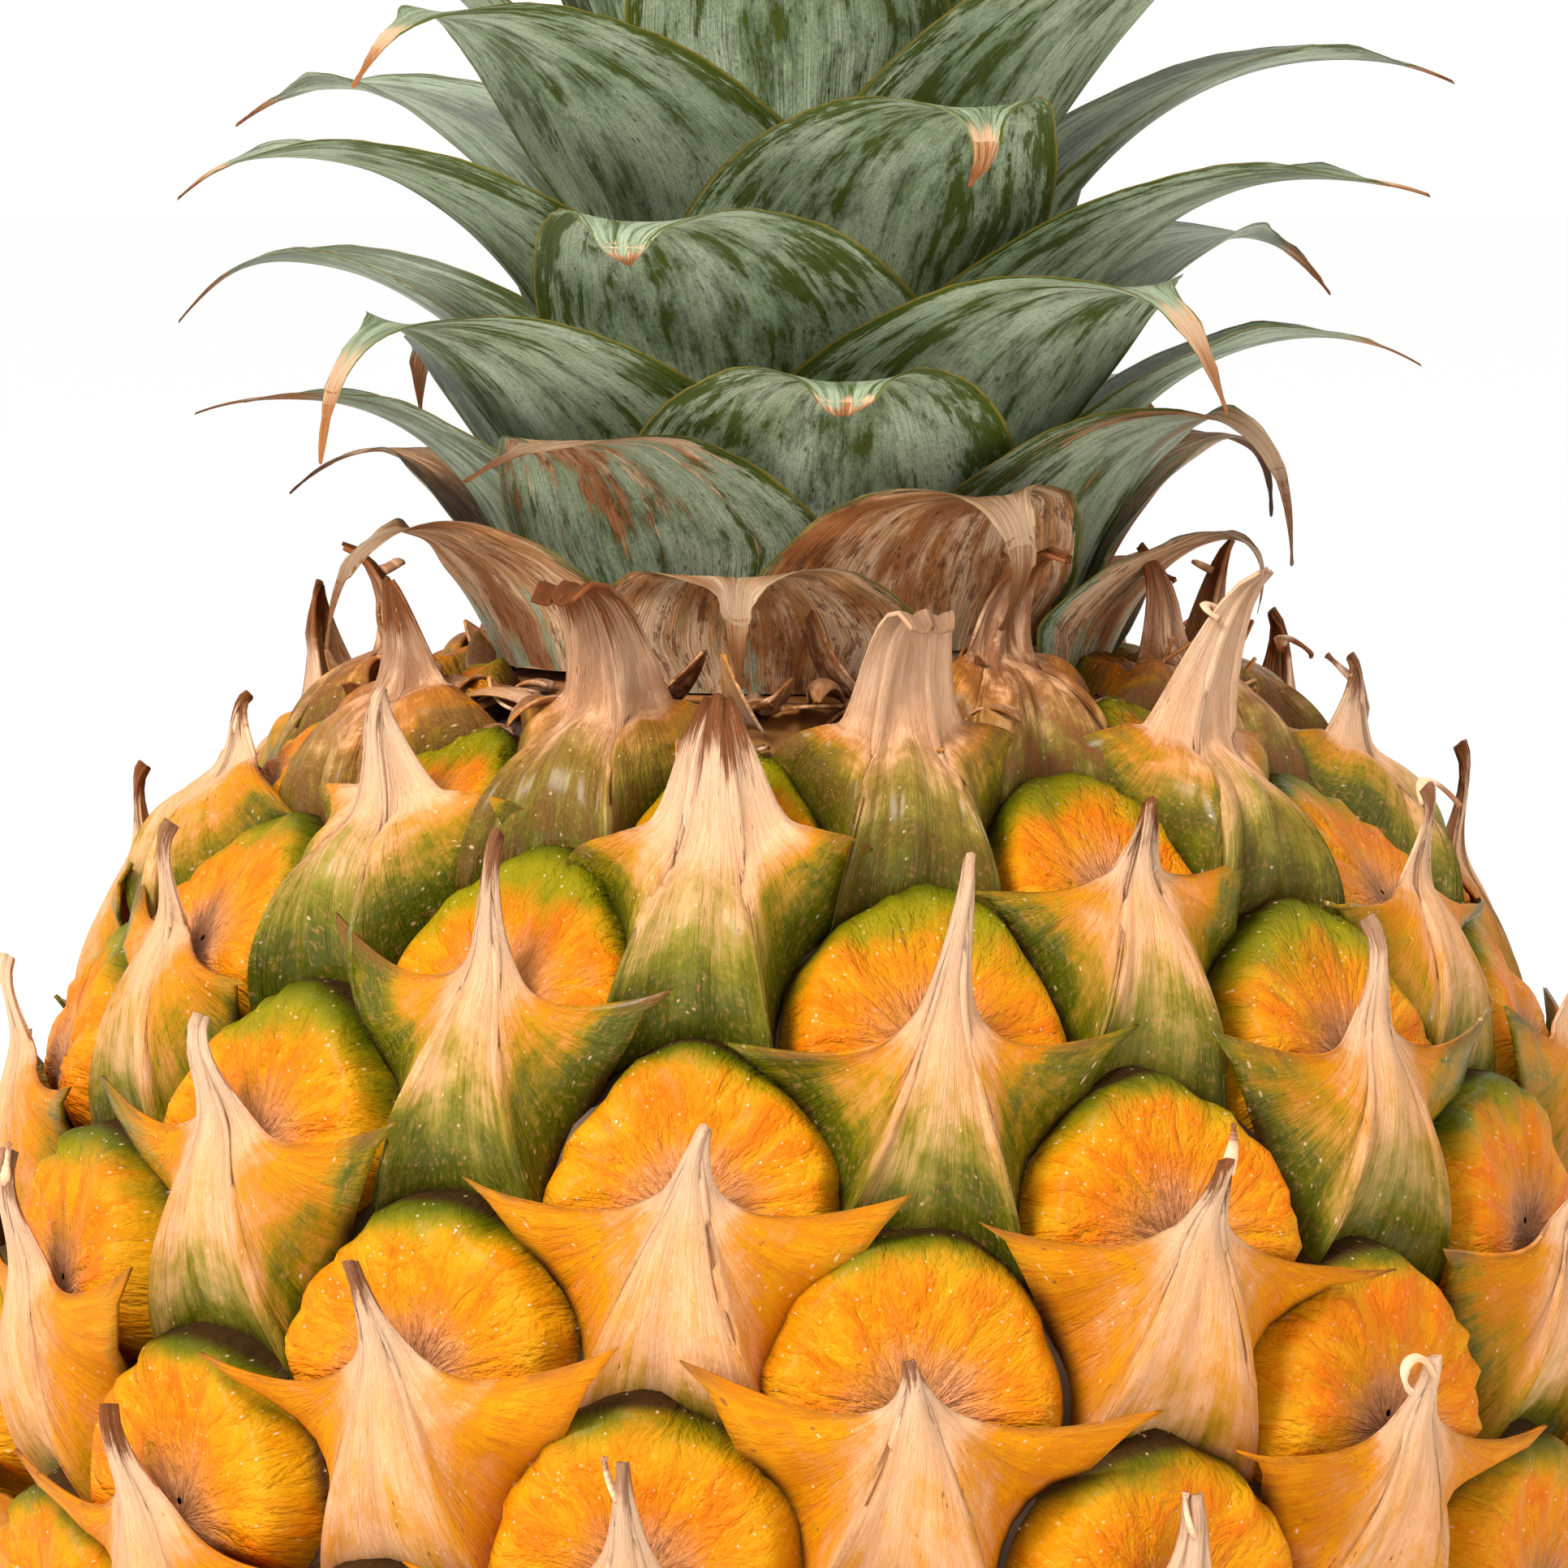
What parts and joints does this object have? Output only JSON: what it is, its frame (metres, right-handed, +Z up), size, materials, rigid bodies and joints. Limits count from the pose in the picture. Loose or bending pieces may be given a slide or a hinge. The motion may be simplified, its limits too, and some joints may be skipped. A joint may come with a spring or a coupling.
{
  "type": "pineapple",
  "caption": "Ripe pineapple standing on its trimmed base, with spiralling eyes, papery hooked bracts and a full crown of stiff leaves.",
  "frame": {"origin": "centre of the cut stalk's face on the underside, in the plane the fruit stands on", "axes": "+Z up along the fruit's axis towards the crown, -Y the front, +X to the right seen from the front"},
  "size_m": [0.1339, 0.1339, 0.3043],
  "materials": {
    "skin": "waxy",
    "cut_fibre": "matte",
    "stem_flesh": "matte",
    "green_leaf": "satin",
    "dry_leaf": "matte"
  },
  "bodies": {
    "root": {"fruit_body": "skin", "cut_stalk": "cut_fibre", "crown_stem": "stem_flesh", "crown_leaf_01": "dry_leaf", "crown_leaf_02": "dry_leaf", "crown_leaf_03": "dry_leaf", "crown_leaf_04": "dry_leaf", "crown_leaf_05": "dry_leaf", "crown_leaf_06": "dry_leaf", "crown_leaf_07": "dry_leaf", "crown_leaf_08": "dry_leaf", "crown_leaf_09": "dry_leaf", "crown_leaf_10": "dry_leaf", "crown_leaf_11": "dry_leaf", "crown_leaf_12": "dry_leaf", "crown_leaf_13": "dry_leaf", "crown_leaf_14": "green_leaf", "crown_leaf_15": "green_leaf", "crown_leaf_16": "green_leaf", "crown_leaf_17": "green_leaf", "crown_leaf_18": "green_leaf", "crown_leaf_19": "green_leaf", "crown_leaf_20": "green_leaf", "crown_leaf_21": "green_leaf", "crown_leaf_22": "green_leaf", "crown_leaf_23": "green_leaf", "crown_leaf_24": "green_leaf", "crown_leaf_25": "green_leaf", "crown_leaf_26": "green_leaf", "crown_leaf_27": "green_leaf", "crown_leaf_28": "green_leaf", "crown_leaf_29": "green_leaf", "crown_leaf_30": "green_leaf", "crown_leaf_31": "green_leaf", "crown_leaf_32": "green_leaf", "crown_leaf_33": "green_leaf", "crown_leaf_34": "green_leaf", "crown_leaf_35": "green_leaf", "crown_leaf_36": "green_leaf", "crown_leaf_37": "green_leaf", "crown_leaf_38": "green_leaf", "crown_leaf_39": "green_leaf", "crown_leaf_40": "green_leaf", "crown_leaf_41": "green_leaf", "crown_leaf_42": "green_leaf", "crown_leaf_43": "green_leaf", "crown_leaf_44": "green_leaf", "crown_leaf_45": "green_leaf", "crown_leaf_46": "green_leaf", "crown_leaf_47": "green_leaf", "crown_leaf_48": "green_leaf", "crown_leaf_49": "green_leaf", "crown_leaf_50": "green_leaf", "crown_leaf_51": "green_leaf", "crown_leaf_52": "green_leaf", "crown_leaf_53": "green_leaf", "crown_leaf_54": "green_leaf", "crown_leaf_55": "green_leaf", "crown_leaf_56": "green_leaf", "crown_leaf_57": "green_leaf"}
  },
  "joints": []
}
